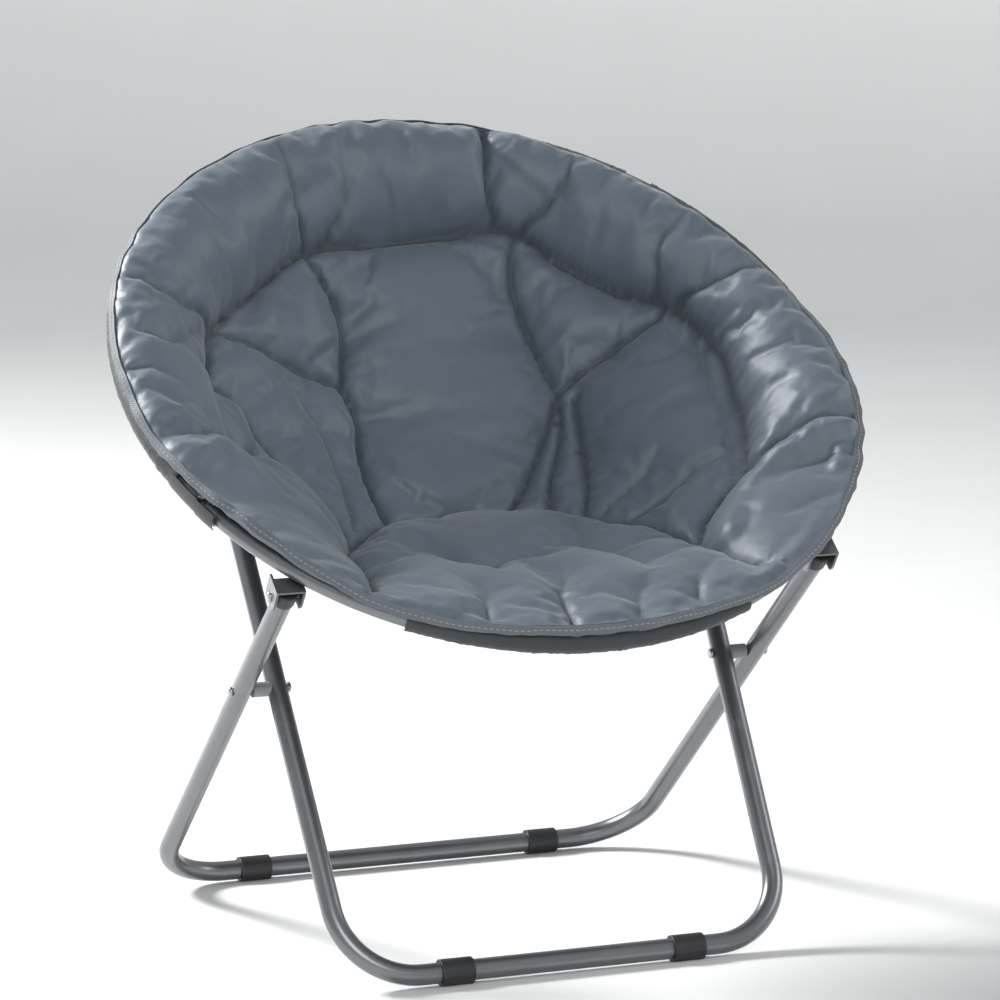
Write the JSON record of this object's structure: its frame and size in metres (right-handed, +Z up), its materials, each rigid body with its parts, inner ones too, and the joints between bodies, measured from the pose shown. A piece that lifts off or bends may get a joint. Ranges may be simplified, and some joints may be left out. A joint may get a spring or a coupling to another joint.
{
  "type": "folding saucer chair",
  "caption": "Folding saucer chair: a round padded dish seat in a tilted tube hoop on two crossing U-shaped tube leg frames.",
  "frame": {"origin": "on the floor, under the middle of the chair's bounding box", "axes": "+Z up, -Y towards the front (the way the sitter faces), +X to the sitter's left"},
  "size_m": [0.8154, 0.6677, 0.8659],
  "materials": {
    "frame_paint": "satin",
    "fastener_steel": "satin",
    "black_plastic": "satin",
    "grey_plastic": "satin",
    "seat_cloth": "satin",
    "base_cloth": "matte",
    "binding_tape": "satin"
  },
  "bodies": {
    "rear_hoop": {"rear_hoop_tube": "frame_paint", "hinge_fork_left": "frame_paint", "hinge_fork_right": "frame_paint", "hinge_pins": "fastener_steel", "rear_bracket_left": "frame_paint", "rear_bracket_right": "frame_paint", "rear_bracket_bolts": "fastener_steel", "rear_bracket_nuts": "fastener_steel", "rear_cushion": "seat_cloth", "rear_sling": "base_cloth", "rear_binding": "binding_tape", "rear_sleeves": "base_cloth"},
    "front_hoop": {"front_hoop_tube": "frame_paint", "hinge_tongue_left": "frame_paint", "hinge_tongue_right": "frame_paint", "front_bracket_left": "frame_paint", "front_bracket_right": "frame_paint", "front_bracket_bolts": "fastener_steel", "front_bracket_nuts": "fastener_steel", "front_cushion": "seat_cloth", "front_sling": "base_cloth", "front_binding": "binding_tape", "front_sleeve": "base_cloth"},
    "front_leg_frame": {"front_leg_tube": "frame_paint", "front_leg_cap_left": "black_plastic", "front_leg_cap_right": "black_plastic", "front_glide_left": "black_plastic", "front_glide_right": "black_plastic", "scissor_spacer_left": "grey_plastic", "scissor_spacer_right": "grey_plastic", "scissor_bolts": "fastener_steel"},
    "rear_leg_frame": {"rear_leg_tube": "frame_paint", "rear_leg_cap_left": "black_plastic", "rear_leg_cap_right": "black_plastic", "rear_glide_left": "black_plastic", "rear_glide_right": "black_plastic", "scissor_studs": "fastener_steel"}
  },
  "joints": [
    {"name": "hoop_fold", "type": "hinge", "parent": "rear_hoop", "child": "front_hoop", "pos_m": [0, -0.13539, 0.51048], "axis": [-1, 0, 0], "range_deg": [0, 172], "deforming": ["rear_cushion", "front_cushion", "rear_sling", "front_sling", "rear_binding", "front_binding"]},
    {"name": "front_leg_swing", "type": "hinge", "parent": "rear_hoop", "child": "front_leg_frame", "pos_m": [0, 0.26721, 0.73059], "axis": [-1, 0, 0], "range_deg": [0, 23.8]},
    {"name": "rear_leg_swing", "type": "hinge", "parent": "front_hoop", "child": "rear_leg_frame", "pos_m": [0, -0.19607, 0.41154], "axis": [1, 0, 0], "range_deg": [0, 88.9]}
  ],
  "couplings": [
    {"joint": "front_leg_swing", "follows": "hoop_fold", "ratio": 0.13835},
    {"joint": "rear_leg_swing", "follows": "hoop_fold", "ratio": 0.51645}
  ]
}
